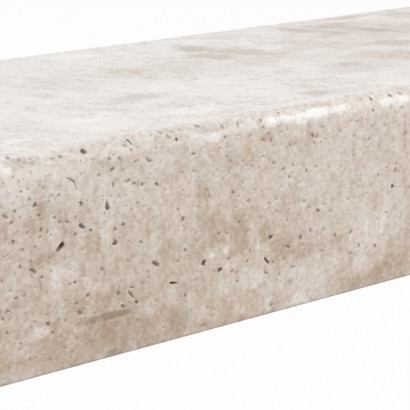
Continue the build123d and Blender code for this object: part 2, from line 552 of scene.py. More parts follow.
@dataclass
class TreadBlock:
    """The cast block: its box from the frame, its rounded edges, and the waves that the mould left.

    A wave has its distance from crest to crest and its depth. A probe for the skin starts above it and ends
    below it.
    """

    low: Vector
    high: Vector
    nosing_radius: float = 12 * MM
    arris_radius: float = 2 * MM
    nosing_steps: int = 8
    arris_steps: int = 3
    arris_degrees: float = 60.0
    column_pitch: float = 8 * MM
    row_pitch: float = 7 * MM
    cut_tolerance: float = 0.001 * MM
    long_wave: Span = (0.16, 0.45 * MM)
    short_wave: Span = (0.022, 0.28 * MM)
    wave_detail: int = 2
    crease_degrees: float = 32.0
    probe_lift: float = 4 * MM
    probe_length: float = 16 * MM
    piece: bpy.types.Object | None = None

    def facing(self, start: Vector, sight: Vector) -> tuple[Vector, Vector]:
        """Finds where a line of sight meets the front, the nosing or the walking surface.

        Args:
            start: Where the line starts.
            sight: Its direction.

        Returns:
            The point on the block before its waves, and the outward direction there.
        """
        front = start + sight * ((self.low.y - start.y) / sight.y)
        if front.z <= self.high.z - self.nosing_radius:
            return front, Face.FRONT.outward
        top = start + sight * ((self.high.z - start.z) / sight.z)
        if top.y >= self.low.y + self.nosing_radius:
            return top, Face.TOP.outward
        axis = Vector((0.0, self.low.y + self.nosing_radius, self.high.z - self.nosing_radius))
        offset = Vector((0.0, start.y - axis.y, start.z - axis.z))
        fall = Vector((0.0, sight.y, sight.z))
        square = fall.dot(fall)
        half = offset.dot(fall)
        rest = max(half * half - square * (offset.dot(offset) - self.nosing_radius**2), 0.0)
        point = start + sight * ((-half - math.sqrt(rest)) / square)
        return point, Vector((0.0, point.y - axis.y, point.z - axis.z)).normalized()

    def on_skin(self, point: Vector, outward: Vector) -> Vector:
        """Moves a point of the plain form onto the wavy skin.

        Args:
            point: A point on the form.
            outward: The outward direction there.

        Returns:
            The nearest point of the skin along that direction.
        """
        start = point + outward * self.probe_lift
        found, place, _, _ = self.piece.ray_cast(start, -outward, distance=self.probe_length)
        return place if found else point

    def build(self) -> bpy.types.Object:
        """Models the block from a cube: nosing, arrises, a grid of cuts, and waves on all but the bed.

        Returns:
            The block, with its place in its mesh.
        """
        size = self.high - self.low
        bpy.ops.object.select_all(action="DESELECT")
        bpy.ops.mesh.primitive_cube_add(size=1.0, location=(self.low + self.high) / 2, scale=size)
        self.piece = bpy.context.object
        self.piece.name = "tread_block"
        bpy.ops.object.transform_apply(location=True, rotation=True, scale=True)
        self._select_nosing_edge()
        bpy.ops.object.mode_set(mode="EDIT")
        bpy.ops.mesh.bevel(offset=self.nosing_radius, segments=self.nosing_steps, affect="EDGES")
        bpy.ops.mesh.select_all(action="DESELECT")
        bpy.ops.mesh.edges_select_sharp(sharpness=math.radians(self.arris_degrees))
        bpy.ops.mesh.bevel(offset=self.arris_radius, segments=self.arris_steps, affect="EDGES")
        self._cut_grid()
        bpy.ops.object.mode_set(mode="OBJECT")
        clear = self.low.z + self.arris_radius / 2
        above_bed = [vertex.index for vertex in self.piece.data.vertices if vertex.co.z > clear]
        self.piece.vertex_groups.new(name=WAVED).add(above_bed, 1.0, "REPLACE")
        self._wave("long_wave", *self.long_wave)
        self._wave("short_wave", *self.short_wave)
        self.piece.vertex_groups.clear()
        return self.piece

    def _select_nosing_edge(self) -> None:
        """Selects only the front top edge of the plain cube."""
        mesh = self.piece.data
        bpy.ops.object.mode_set(mode="EDIT")
        bpy.ops.mesh.select_mode(type="EDGE")
        bpy.ops.mesh.select_all(action="DESELECT")
        bpy.ops.object.mode_set(mode="OBJECT")
        for edge in mesh.edges:
            ends = [mesh.vertices[index].co for index in edge.vertices]
            edge.select = all(end.y < 0.0 and end.z > self.high.z / 2 for end in ends)

    def _cut_grid(self) -> None:
        """Cuts the block into columns and rows, so that its faces can wave."""
        pitches = (self.column_pitch, self.row_pitch, self.row_pitch)
        margins = (self.arris_radius, self.nosing_radius, self.nosing_radius)
        for axis, (pitch, margin) in enumerate(zip(pitches, margins)):
            normal = Vector((0.0, 0.0, 0.0))
            normal[axis] = 1.0
            first = self.low[axis] + margin
            last = self.high[axis] - margin
            count = round((last - first) / pitch)
            for step in range(count + 1):
                bpy.ops.mesh.select_all(action="SELECT")
                cut = normal * (first + (last - first) * step / count)
                bpy.ops.mesh.bisect(plane_co=cut, plane_no=normal, threshold=self.cut_tolerance)

    def _wave(self, name: str, size: float, depth: float) -> None:
        """Presses waves into the skin, inwards only, so that the block keeps its box.

        Args:
            name: Name of the wave's texture.
            size: Distance from crest to crest.
            depth: Deepest hollow.
        """
        pattern = bpy.data.textures.new(name, type="CLOUDS")
        pattern.noise_scale = size
        pattern.noise_depth = self.wave_detail
        wave = self.piece.modifiers.new(name, "DISPLACE")
        wave.texture = pattern
        wave.texture_coords = "LOCAL"
        wave.mid_level = 1.0
        wave.strength = depth
        wave.vertex_group = WAVED
        bpy.context.view_layer.objects.active = self.piece
        bpy.ops.object.modifier_apply(modifier=name)

    def finish_edges(self) -> None:
        """Smooths the shading, with creases at the rims of pits."""
        bpy.ops.object.select_all(action="DESELECT")
        self.piece.select_set(True)
        bpy.context.view_layer.objects.active = self.piece
        bpy.ops.object.shade_smooth_by_angle(angle=math.radians(self.crease_degrees))


@dataclass
class Pitting:
    """The holes that air and wear left in the block: those that the picture shows, and like ones elsewhere.

    Spreads are the least and most of what is drawn at random, as shares. A bowl has its steps round the rim
    and from top to bottom.
    """

    block: TreadBlock
    camera: PictureCamera
    usual_distance: float = 1.5
    edge_margin: float = 4 * MM
    nearly_level: float = 0.9
    width_spread: Span = (0.85, 1.15)
    length_spread: Span = (1.0, 1.45)
    depth_spread: Span = (0.8, 1.2)
    scattered_spread: Span = (0.7, 1.1)
    long_chance: float = 0.16
    long_spread: Span = (1.8, 3.2)
    pore_scale: float = 0.5
    # strength of the painted highlight on the lower lips of small and of large pits
    small_lip_highlight: float = 0.22
    large_lip_highlight: float = 0.45
    fine_bowl: tuple[int, int] = (9, 6)
    round_bowl: tuple[int, int] = (14, 10)
    flare: float = 0.5
    lumpiness: float = 0.25
    lump_waves: int = 4
    lump_pitch: float = 1.6
    end_spread: float = 1.7
    lean_taper: float = 0.6
    random_taper: float = 0.2
    sway: float = 0.25
    sway_pitch: float = 3.0
    turn: float = 6.28
    same_spot: float = 0.0001 * MM
    sorting_line: Triple = (1.0, 0.37, 0.61)
    mending_rounds: int = 3

    def __post_init__(self) -> None:
        """Starts with no holes, a fixed series of random draws and no face sorted to its side."""
        self.draw = random.Random(SEED)
        self.holes: list[Hollow] = []
        self.taken: list[tuple[Vector, float]] = []
        self.homes = np.zeros((0, 3))

    def _add(self, hole: Hollow) -> bool:
        """Keeps a hole unless it runs into another.

        Args:
            hole: The hole to add.

        Returns:
            Whether it was kept.
        """
        balls = hole.footprint()
        for middle, radius in balls:
            for other, reach in self.taken:
                if (middle - other).length < radius + reach:
                    return False
        self.taken.extend(balls)
        self.holes.append(hole)
        return True

    def _seen(self, pixel: Pixel) -> tuple[Vector, Vector]:
        """Carries a pixel of the picture onto the skin.

        Args:
            pixel: Place in the picture.

        Returns:
            The point on the skin and the outward direction there.
        """
        point, outward = self.block.facing(Vector(self.camera.place), self.camera.sight(pixel))
        return self.block.on_skin(point, outward), outward

    def add_slot(self, slot: Slot) -> bool:
        """Adds a long pit that the picture shows.

        Args:
            slot: The slot's ends, width and grade.

        Returns:
            Whether it was kept.
        """
        start, _ = self._seen(slot.start)
        end, _ = self._seen(slot.end)
        middle_pixel = tuple((a + b) / 2 for a, b in zip(slot.start, slot.end))
        middle, outward = self._seen(middle_pixel)
        run = end - start
        along = (run - outward * run.dot(outward)).normalized()
        grade = slot.grade
        sizes = (run.length / 2, slot.width / 2, grade.depth)
        return self._add(Hollow(middle, along, outward, *sizes, grade.shade, slot.bow, slot.lean))

    def add_pit(self, pixel: Pixel, grade: PitGrade) -> bool:
        """Adds a short pit that the picture shows.

        Args:
            pixel: Its middle in the picture.
            grade: How it shows.

        Returns:
            Whether it was kept.
        """
        middle, outward = self._seen(pixel)
        distance = (middle - Vector(self.camera.place)).length
        return self._add(self._random_hole(middle, outward, grade, distance / self.usual_distance))

    def _random_hole(self, middle: Vector, outward: Vector, grade: PitGrade, scale: float) -> Hollow:
        """Shapes a short pit, turned and stretched at random.

        Args:
            middle: Its middle on the skin.
            outward: The outward direction there.
            grade: How it shows.
            scale: Size, as a share of the grade's own.

        Returns:
            The hole to cut.
        """
        level = abs(outward.z) > self.nearly_level
        first = outward.cross((Face.RIGHT_END if level else Face.TOP).outward).normalized()
        second = outward.cross(first)
        angle = self.draw.uniform(0.0, math.pi)
        along = first * math.cos(angle) + second * math.sin(angle)
        half = grade.width / 2 * scale * self.draw.uniform(*self.width_spread)
        stretch = self.draw.uniform(*self.length_spread)
        depth = grade.depth * scale * self.draw.uniform(*self.depth_spread)
        fine = grade not in (PitGrade.DEEP, PitGrade.BLACK)
        lip = self.small_lip_highlight if fine else self.large_lip_highlight
        return Hollow(middle, along, outward, half * stretch, half, depth, grade.shade, fine=fine, lip=lip)

    def add_picture_marks(self) -> None:
        """Adds every pit that is read from the picture, the deepest first."""
        graded = {
            PitGrade.DEEP: DEEP_PITS,
            PitGrade.DARK: DARK_PITS,
            PitGrade.MEDIUM: MEDIUM_PITS,
            PitGrade.FAINT: FAINT_PITS,
        }
        kept = [self.add_slot(slot) for slot in SLOTS]
        for grade, pixels in graded.items():
            kept += [self.add_pit(pixel, grade) for pixel in pixels]
        log.info("pits read from the picture: %d of %d kept", sum(kept), len(kept))

    def scatter(self, face: Face, tries: dict[PitGrade, int], scale: float = 1.0, fill: bool = False) -> None:
        """Scatters pits over one face of the block.

        Args:
            face: The face.
            tries: How many pits of each grade are tried.
            scale: Their size, as a share of the grade's own.
            fill: Whether pits are left out where the picture shows the face.
        """
        outward = face.outward
        for grade in (grade for grade, count in tries.items() for _ in range(count)):
            spot = Vector()
            for axis, (low, high) in enumerate(zip(self.block.low, self.block.high)):
                spot[axis] = self.draw.uniform(low + self.edge_margin, high - self.edge_margin)
                if outward[axis]:
                    spot[axis] = high if outward[axis] > 0.0 else low
            size = scale * self.draw.uniform(*self.scattered_spread)
            stretch = self.draw.uniform(*self.long_spread) if self.draw.random() < self.long_chance else 1.0
            if not (fill and self.camera.shows(spot)):
                hole = self._random_hole(self.block.on_skin(spot, outward), outward, grade, size)
                self._add(replace(hole, half_length=hole.half_length * stretch))

    def add_unseen_faces(self) -> None:
        """Pits what the picture doesn't show in the same way, and adds fine pores to the front."""
        front = {PitGrade.DEEP: 28, PitGrade.DARK: 80, PitGrade.MEDIUM: 150, PitGrade.FAINT: 220}
        back = {PitGrade.DEEP: 22, PitGrade.DARK: 56, PitGrade.MEDIUM: 110, PitGrade.FAINT: 150}
        end = {PitGrade.DEEP: 8, PitGrade.DARK: 20, PitGrade.MEDIUM: 36, PitGrade.FAINT: 50}
        bed = {PitGrade.MEDIUM: 30, PitGrade.FAINT: 30}
        pores = {PitGrade.FAINT: 260}
        self.scatter(Face.FRONT, front, fill=True)
        self.scatter(Face.BACK, back)
        self.scatter(Face.LEFT_END, end)
        self.scatter(Face.RIGHT_END, end)
        self.scatter(Face.BED, bed)
        self.scatter(Face.FRONT, pores, self.pore_scale)

    def _unit_bowl(self, segments: int, rings: int) -> tuple[np.ndarray, np.ndarray]:
        """Models one bowl with a flared rim from a ball, and reads its points and faces.

        Args:
            segments: How many steps it has round its rim.
            rings: How many steps it has from top to bottom.

        Returns:
            Its points and its triangles.
        """
        bpy.ops.object.select_all(action="DESELECT")
        bpy.ops.mesh.primitive_uv_sphere_add(segments=segments, ring_count=rings, radius=1.0)
        ball = bpy.context.object
        bpy.ops.object.mode_set(mode="EDIT")
        bpy.ops.mesh.quads_convert_to_tris()
        bpy.ops.object.mode_set(mode="OBJECT")
        points = np.array([vertex.co for vertex in ball.data.vertices])
        corners = np.array([face.vertices for face in ball.data.polygons])
        bpy.data.objects.remove(ball)
        level = np.abs(points[:, 2])
        slope = (1.0 + self.flare * (1.0 - level) ** 3) / np.sqrt(1.0 + level)
        points[:, :2] *= slope[:, None]
        return points, corners

    def _fitted(self, bowl: np.ndarray, hole: Hollow, rng: np.random.Generator) -> np.ndarray:
        """Makes a plain bowl lumpy and fits it to a hole.

        Args:
            bowl: The plain bowl's points.
            hole: The hole.
            rng: The series of random draws.

        Returns:
            The points, in the block's frame.
        """
        waves = rng.normal(size=(3, self.lump_waves)) * self.lump_pitch
        phases = rng.uniform(0.0, self.turn, self.lump_waves)
        lump = 1.0 + self.lumpiness * np.sin(bowl @ waves + phases).sum(1) / 2
        shaped = bowl * lump[:, None]
        run = max(hole.half_length - hole.half_width, 0.0)
        length = shaped[:, 0] * hole.half_width + np.clip(bowl[:, 0] * self.end_spread, -1.0, 1.0) * run
        share = np.clip(length / hole.half_length, -1.0, 1.0)
        narrowing = self.lean_taper * hole.lean + rng.uniform(-self.random_taper, self.random_taper)
        bend = hole.bow * hole.half_length * (share**2 - 0.5)
        waver = self.sway * hole.half_width * np.sin(self.sway_pitch * share + rng.uniform(0.0, self.turn))
        width = shaped[:, 1] * hole.half_width * (1.0 + narrowing * share) + bend + waver
        height = shaped[:, 2] * hole.depth * (1.0 + hole.lean * share)
        axes = np.array([hole.along, hole.outward.cross(hole.along), hole.outward])
        return np.array(hole.middle) + np.stack([length, width, height], 1) @ axes

    def _cutter_mesh(self) -> bpy.types.Mesh:
        """Joins a lumpy bowl for every hole into one mesh.

        Returns:
            The mesh, with each face marked by its hole's number.
        """
        bowls = {True: self._unit_bowl(*self.fine_bowl), False: self._unit_bowl(*self.round_bowl)}
        rng = np.random.default_rng(SEED)
        points = []
        faces = []
        numbers = []
        start = 0
        for number, hole in enumerate(self.holes, start=1):
            bowl, corners = bowls[hole.fine]
            points.append(self._fitted(bowl, hole, rng))
            faces.append(corners + start)
            numbers.append(np.full(len(corners), number))
            start += len(bowl)
        mesh = bpy.data.meshes.new("pit_cutters")
        mesh.from_pydata(np.concatenate(points).tolist(), [], np.concatenate(faces).tolist())
        mark = mesh.attributes.new(HOLE_NUMBER, "FLOAT", "FACE")
        mark.data.foreach_set("value", np.concatenate(numbers).astype(np.float32))
        return mesh

    def cut(self) -> None:
        """Cuts all the holes out of the block."""
        piece = self.block.piece
        piece.data.attributes.new(HOLE_NUMBER, "FLOAT", "FACE")
        cutter = bpy.data.objects.new("pit_cutters", self._cutter_mesh())
        bpy.context.scene.collection.objects.link(cutter)
        holes = piece.modifiers.new("holes", "BOOLEAN")
        holes.operation = "DIFFERENCE"
        holes.solver = "MANIFOLD"
        holes.object = cutter
        bpy.context.view_layer.objects.active = piece
        bpy.ops.object.modifier_apply(modifier="holes")
        bpy.data.objects.remove(cutter)
        self._mend_edges()
        self._shade_holes()
        log.info("holes cut: %d", len(self.holes))

    def _mend_edges(self) -> None:
        """Merges points that the cut left on the same spot, and takes out those that it left within an edge.

        The points are first sorted along a line, because the cut gives them in another order each time.
        """
        mesh = self.block.piece.data
        line = Vector(self.sorting_line)
        work = bmesh.new()
        work.from_mesh(mesh)
        work.verts.sort(key=lambda point: point.co.dot(line))
        bmesh.ops.remove_doubles(work, verts=work.verts, dist=self.same_spot)
        bmesh.ops.dissolve_degenerate(work, edges=work.edges, dist=self.same_spot)
        for _ in range(self.mending_rounds):
            for point in [point for point in work.verts if len(point.link_edges) == 2]:
                if point.is_valid and len(point.link_edges) == 2:
                    bmesh.utils.vert_collapse_edge(point, point.link_edges[0])
        work.to_mesh(mesh)
        work.free()

    def _shade_holes(self) -> None:
        """Marks how much shade, or highlight on a lower lip, is painted at each corner in a hole, and keeps
        which way the side of each face looks.
        """
        mesh = self.block.piece.data
        marks = np.zeros(len(mesh.polygons), np.float32)
        mesh.attributes[HOLE_NUMBER].data.foreach_get("value", marks)
        numbers = np.rint(marks).astype(int)
        darkness = np.zeros(len(mesh.loops), np.float32)
        for face, number in zip(mesh.polygons, numbers):
            if number:
                hole = self.holes[number - 1]
                for corner, vertex in zip(face.loop_indices, face.vertices):
                    darkness[corner] = hole.darkness(mesh.vertices[vertex].co)
        mesh.attributes.remove(mesh.attributes[HOLE_NUMBER])
        mesh.attributes.new(HOLLOW, "FLOAT", "CORNER").data.foreach_set("value", darkness)
        normals = np.array([face.normal for face in mesh.polygons])
        mouths = np.array([Vector(), *(hole.outward for hole in self.holes)])
        self.homes = np.where(numbers[:, None] > 0, mouths[numbers], normals)


@dataclass(frozen=True)
class CartonLayout:
    """The block's sides laid out flat in rows like an opened carton, for a map of its finish.

    The first row is the front, the nosing and the walking surface unrolled in one. Then come the back, the
    two ends, and the bed at a smaller scale.
    """

    block: TreadBlock
    gap: float = 6 * MM
    bed_scale: float = 0.5

    def apply(self, homes: np.ndarray) -> None:
        """Gives the block its map.

        Args:
            homes: For each face, the way that its side of the block looks.
        """
        mesh = self.block.piece.data
        size = self.block.high - self.block.low
        corners = np.array([mesh.vertices[corner.vertex_index].co - self.block.low for corner in mesh.loops])
        along, deep, up = corners.T
        side = np.repeat(self._sides(homes), [len(face.vertices) for face in mesh.polygons])
        across = (along, size.x - along, deep, 2 * size.y + self.gap - deep, along * self.bed_scale)
        heights = (self._unrolled(deep, up), up, up, up, deep * self.bed_scale)
        rows = (self._unrolled(size.y, size.z), size.z, size.z, size.y * self.bed_scale)
        floors = np.array([0, 1, 2, 2, 3])
        tops = np.cumsum([0.0, *(row + self.gap for row in rows)])
        places = np.stack([np.choose(side, across), np.choose(side, heights) + tops[floors[side]]], 1)
        scale = 1.0 / (size.x + 2 * self.gap)
        layout = mesh.uv_layers.new(name=BAKE_MAP)
        layout.uv.foreach_set("vector", ((places + self.gap) * scale).astype(np.float32).ravel())

    def _sides(self, homes: np.ndarray) -> np.ndarray:
        """Sorts faces into front and top, back, right end, left end and bed, numbered from 0.

        Args:
            homes: For each face, the way that its side of the block looks.

        Returns:
            The number of each face's side.
        """
        x, y, z = homes.T
        rolled = np.maximum(np.maximum(z, -y), (z - y) / math.sqrt(2))
        return np.argmax([rolled, y, x, -x, -z], axis=0)

    def _unrolled(self, deep: np.ndarray | float, up: np.ndarray | float) -> np.ndarray:
        """Measures along the skin from the foot of the front, up over the nosing and back over the top.

        Args:
            deep: Distance behind the front.
            up: Height above the bed.

        Returns:
            The distance along the skin.
        """
        radius = self.block.nosing_radius
        rise = self.block.high.z - self.block.low.z - radius
        turn = np.clip(np.arctan2(up - rise, radius - deep), 0.0, math.pi / 2)
        top = rise + radius * math.pi / 2 + deep - radius
        return np.where(deep > radius, top, np.where(up < rise, up, rise + radius * turn))


class Bench:
    """Lays out the nodes of one tree and wires them."""

    def __init__(self, tree: bpy.types.NodeTree) -> None:
        """Starts on an empty tree.

        Args:
            tree: The material's, world's or group's node tree.
        """
        self.tree = tree
        tree.nodes.clear()

    def node(
        self, kind: str, feeds: dict[int | str, Feed] | None = None, **settings: object
    ) -> bpy.types.Node:
        """Adds a node.

        Args:
            kind: The node's type.
            feeds: What goes into each input, a socket or a constant.
            **settings: The node's own settings.

        Returns:
            The node.
        """
        made = self.tree.nodes.new(kind)
        made.location = (200.0 * len(self.tree.nodes), 0.0)
        for name, value in settings.items():
            setattr(made, name, value)
        for socket, value in (feeds or {}).items():
            if isinstance(value, Socket):
                self.tree.links.new(value, made.inputs[socket])
            else:
                made.inputs[socket].default_value = value
        return made

    def math(self, operation: str, first: Feed, second: Feed = 0.0, third: Feed = 0.0) -> Socket:
        """Works out one, two or three values."""
        feeds = {0: first, 1: second, 2: third}
        return self.node("ShaderNodeMath", feeds, operation=operation).outputs[0]

    def product(self, first: Feed, *others: Feed) -> Feed:
        """Multiplies values one after another.

        Args:
            first: The first value.
            *others: The others, if any.

        Returns:
            Their product.
        """
        for other in others:
            first = self.math("MULTIPLY", first, other)
        return first

    def scaled(self, value: Feed, scale: Feed, start: Feed) -> Socket:
        """Scales a value and adds a start."""
        return self.math("MULTIPLY_ADD", value, scale, start)

    def step(self, value: Feed, low: float, high: float, start: Feed = 0.0, end: Feed = 1.0) -> Socket:
        """Passes smoothly from a start to an end while a value passes from low to high."""
        feeds = {0: value, 1: low, 2: high, 3: start, 4: end}
        return self.node("ShaderNodeMapRange", feeds, interpolation_type="SMOOTHSTEP").outputs[0]

    def pick(self, share: Feed, first: Feed, second: Feed) -> Socket:
        """Mixes two values."""
        return self.node("ShaderNodeMix", {0: share, 2: first, 3: second}, data_type="FLOAT").outputs[0]

    def tinted(self, colour: Feed, tone: Tone, *shares: Feed) -> Socket:
        """Lays a tone over a colour, by the product of some shares."""
        feeds = {0: self.product(*shares), 6: colour, 7: tone.value}
        return self.node("ShaderNodeMix", feeds, data_type="RGBA").outputs[2]

    def noise(self, place: Feed, size: float, detail: float = 2.0) -> Socket:
        """Gives noise with features of a size, in the units of the place."""
        feeds = {"Vector": place, "Scale": 1.0 / size, "Detail": detail}
        return self.node("ShaderNodeTexNoise", feeds).outputs[0]

    def vector(self, operation: str, first: Feed, second: Feed) -> Socket:
        """Works out two vectors."""
        return self.node("ShaderNodeVectorMath", {0: first, 1: second}, operation=operation).outputs[0]


class SurfaceBench(Bench):
    """A bench for a material on the block, with the place on the block at hand, in millimetres."""

    def __init__(self, tree: bpy.types.NodeTree) -> None:
        """Starts with the place and its three axes.

        Args:
            tree: The material's node tree.
        """
        super().__init__(tree)
        metres = self.node("ShaderNodeTexCoord").outputs["Object"]
        self.place = self.vector("MULTIPLY", metres, (1 / MM, 1 / MM, 1 / MM))
        self.axes = self.node("ShaderNodeSeparateXYZ", {0: self.place}).outputs


def stain_group() -> bpy.types.NodeTree:
    """Builds the group for one stain: an ellipse with a soft, broken edge, laid over those before it.

    Returns:
        The node group. It takes the share that earlier stains left bare, and gives what is bare after it.
    """
    outer_edge = 1.30
    inner_edge = 0.45
    tree = bpy.data.node_groups.new("stain_patch", "ShaderNodeTree")
    bench = Bench(tree)
    for name in ("Place", "Centre", "Reach"):
        tree.interface.new_socket(name, in_out="INPUT", socket_type="NodeSocketVector")
    for name in ("Breakup", "Left", "Bare"):
        tree.interface.new_socket(name, in_out="INPUT", socket_type="NodeSocketFloat")
    tree.interface.new_socket("Bare", in_out="OUTPUT", socket_type="NodeSocketFloat")
    given = bench.node("NodeGroupInput").outputs
    offset = bench.vector("SUBTRACT", given["Place"], given["Centre"])
    local = bench.vector("DIVIDE", offset, given["Reach"])
    distance = bench.node("ShaderNodeVectorMath", {0: local}, operation="LENGTH").outputs["Value"]
    ragged = bench.math("ADD", distance, given["Breakup"])
    thinned = bench.step(ragged, outer_edge, inner_edge, 1.0, given["Left"])
    bench.node("NodeGroupOutput", {"Bare": bench.product(thinned, given["Bare"])})
    return tree


@dataclass(frozen=True)
class Wash:
    """A tone that comes out while a pattern passes from a start to a full level, up to a strength."""

    tone: Tone
    start: float
    full: float
    strength: float

    def over(self, bench: Bench, colour: Feed, pattern: Feed, *shares: Feed) -> Socket:
        """Lays the wash over a colour, where some shares let it."""
        level = bench.step(pattern, self.start, self.full)
        return bench.tinted(colour, self.tone, level, *shares, self.strength)


@dataclass(frozen=True)
class Specks:
    """Dots too small to model: their spacing in millimetres, the largest one's radius and their strength.

    Radii are shares of the spacing. A shift keeps the dots off those of another kind.
    """

    spacing: float
    largest: float
    strength: float
    shift: Triple = (0.0, 0.0, 0.0)
    smallest: float = 0.02
    rim: Span = (1.1, 0.3)

    def mask(self, bench: SurfaceBench) -> Socket:
        """Gives where the dots are.

        Args:
            bench: The material's bench.

        Returns:
            1 on a dot and 0 between, with soft rims.
        """
        place = bench.vector("ADD", bench.place, self.shift) if any(self.shift) else bench.place
        cells = bench.node("ShaderNodeTexVoronoi", {"Vector": place, "Scale": 1.0 / self.spacing})
        chance = bench.node("ShaderNodeSeparateColor", {0: cells.outputs["Color"]}).outputs[0]
        radius = bench.scaled(bench.math("POWER", chance, 2.0), self.largest, self.smallest)
        return bench.step(bench.math("DIVIDE", cells.outputs["Distance"], radius), *self.rim)


@dataclass(frozen=True)
class ConcreteFinish:
    """The concrete's look: mottled buff sides, a bleached walking surface, stains, painted highlights on the
    nosing, a dark band along the foot, and painted shade in the pits.

    Sizes, heights and distances of patterns are in millimetres. Rises are above the walking surface, and
    depths are behind the nosing's end. Sways are how far noise moves a line. Mottles are sizes with their
    strengths.
    """

    block: TreadBlock
    camera: PictureCamera
    roughness: float = 0.90
    roughness_spread: float = 0.05
    gloss: float = 0.20
    bump_depth: float = 1.0 * MM
    bump_strength: float = 0.6
    relief_mottles: tuple[Span, ...] = ((1.3, 0.25), (3.0, 0.75), (7.0, 1.1))
    top_calm: float = 0.5
    pore_depth: float = 0.8

    pores: Specks = Specks(4.4, 0.30, 0.50)
    wide_pores: Specks = Specks(5.0, 0.28, 0.42, (50.0, 70.0, 90.0))
    soft_pores: Specks = Specks(7.0, 0.40, 0.32, (90.0, 10.0, 60.0))
    grit: Specks = Specks(6.0, 0.18, 0.35, (20.0, 30.0, 40.0))
    top_closed: float = 0.85
    rougher_stretch: Span = (-160.0, -340.0)
    rougher_shares: Span = (0.85, 1.25)

    line_size: float = 7.0
    line_detail: float = 3.0
    line_sways: Span = (2.0, 6.0)
    line_rise: Span = (-3.0, -1.0)
    line_depth: Span = (-4.5, 2.0)

    # browner towards the bottom of the sides
    low_brown: Wash = Wash(Tone.BROWN, 70.0, 4.0, 0.34)
    low_brown_size: float = 45.0
    low_brown_levels: Span = (0.20, 0.60)
    worn_size: float = 16.0
    worn_sway: float = 24.0
    worn_rise: Span = (-50.0, 4.0)
    worn_strength: float = 0.72
    rim_rise: Span = (-16.0, -5.0)
    streaks: tuple[Wash, ...] = (Wash(Tone.PALE, 0.52, 0.68, 0.48), Wash(Tone.BROWN, 0.47, 0.31, 0.40))
    streak_size: float = 7.5
    streak_squash: Triple = (1.0, 1.0, 0.16)
    streak_zone_size: float = 70.0
    streak_zone_levels: Span = (0.34, 0.56)
    clouds: tuple[Wash, ...] = (Wash(Tone.PALE, 0.55, 0.72, 0.12), Wash(Tone.BROWN, 0.44, 0.30, 0.12))
    cloud_size: float = 34.0
    cloud_detail: float = 4.0
    cloud_squash: Triple = (1.0, 1.0, 0.7)
    tints: tuple[Wash, ...] = (Wash(Tone.PINK, 0.51, 0.70, 0.46), Wash(Tone.OLIVE, 0.49, 0.30, 0.40))
    tint_size: float = 9.0
    tint_rise: Span = (-4.0, -26.0)

    soil_size: float = 9.0
    soil_sway: float = 5.0
    soil_start: Span = (-12.0, -3.0)
    soil_end: Span = (3.5, 0.0)
    soil_rise: Span = (-12.0, -6.0)
    soil_strength: float = 0.70
    fleck_size: float = 3.0
    fleck_levels: Span = (0.38, 0.62)

    stain_depth: float = 40.0
    nearly_flat: float = 0.99
    small_stain: float = 5.0
    wide_wander: Span = (13.0, 3.0)
    narrow_wander: Span = (5.0, 0.8)
    wander_shift: Triple = (310.0, 170.0, 230.0)
    wander_swing: float = 4.0
    breakup_size: float = 3.2
    breakup: float = 0.9
    end_shift: float = 200.0
    mirror_at: float = 40.0
    mirror_squeeze: float = 0.9
    more_top_stains: int = 15

    side_mottles: tuple[Span, ...] = (
        (1.2, 0.04), (2.5, 0.18), (4.6, 0.26), (8.0, 0.20), (16.0, 0.12), (40.0, 0.10),
    )
    top_mottles: tuple[Span, ...] = ((8.0, 0.16), (20.0, 0.17), (60.0, 0.17))
    float_marks: tuple[Span, ...] = ((1.8, 0.06), (3.5, 0.20))
    float_angle: float = 45.0
    float_stretch: Triple = (0.75, 1.9, 1.0)
    lighter: float = 2.0
    darker: float = 2.1

    # a dark brown band along the foot of each side, within a few millimetres of the bed
    dark_foot: Wash = Wash(Tone.DARK_BROWN, 3.6, 1.2, 0.55)
    dark_foot_size: float = 8.0
    dark_foot_sway: float = 3.0

    @property
    def rise(self) -> float:
        """Height of the walking surface above the bed."""
        return self.block.high.z / MM

    @property
    def nosing_end(self) -> float:
        """Where the nosing ends and the flat walking surface begins, across the tread."""
        return (self.block.low.y + self.block.nosing_radius) / MM

    def material(self) -> bpy.types.Material:
        """Builds the material.

        Returns:
            The concrete.
        """
        made = bpy.data.materials.new("weathered_concrete")
        made.use_nodes = True
        bench = SurfaceBench(made.node_tree)
        top = self._top_share(bench)
        colour = bench.tinted(self._side_colour(bench), Tone.BLEACHED, top)
        colour = self._soiled(bench, colour)
        colour = self._stained(bench, colour)
        colour = self._mottled(bench, colour, top)
        pores = bench.product(self.pores.mask(bench), self.pores.strength)
        wide_pores = bench.product(self.wide_pores.mask(bench), self.wide_pores.strength)
        dark = bench.math("MAXIMUM", pores, wide_pores)
        rougher = bench.step(bench.axes["X"], *self.rougher_stretch, *self.rougher_shares)
        open_share = bench.product(bench.scaled(top, -self.top_closed, 1.0), rougher)
        colour = bench.tinted(colour, Tone.WHITE, self.grit.mask(bench), self.grit.strength)
        colour = bench.tinted(colour, Tone.DARK_BROWN, dark, open_share)
        soft = bench.product(self.soft_pores.mask(bench), open_share, self.soft_pores.strength)
        colour = bench.tinted(colour, Tone.BROWN, soft)
        # darker in a thin band along the foot of each side
        uneven = bench.scaled(bench.noise(bench.place, self.dark_foot_size), self.dark_foot_sway, bench.axes["Z"])
        colour = self.dark_foot.over(bench, colour, uneven)
        # painted shade in the pits and painted highlight on their lower lips
        colour = self._painted_pit_shade(bench, colour)
        sand = self._sum_of_noises(bench, bench.place, self.relief_mottles)
        calmer = bench.product(sand, bench.scaled(top, -self.top_calm, 1.0))
        feeds = {
            "Height": bench.scaled(dark, -self.pore_depth, calmer),
            "Strength": self.bump_strength,
            "Distance": self.bump_depth,
        }
        bump = bench.node("ShaderNodeBump", feeds)
        feeds = {
            "Base Color": colour,
            "Roughness": bench.scaled(sand, self.roughness_spread, self.roughness),
            "Normal": bump.outputs[0],
            "Specular IOR Level": self.gloss,
        }
        shader = bench.node("ShaderNodeBsdfPrincipled", feeds)
        bench.node("ShaderNodeOutputMaterial", {"Surface": shader.outputs[0]})
        return made

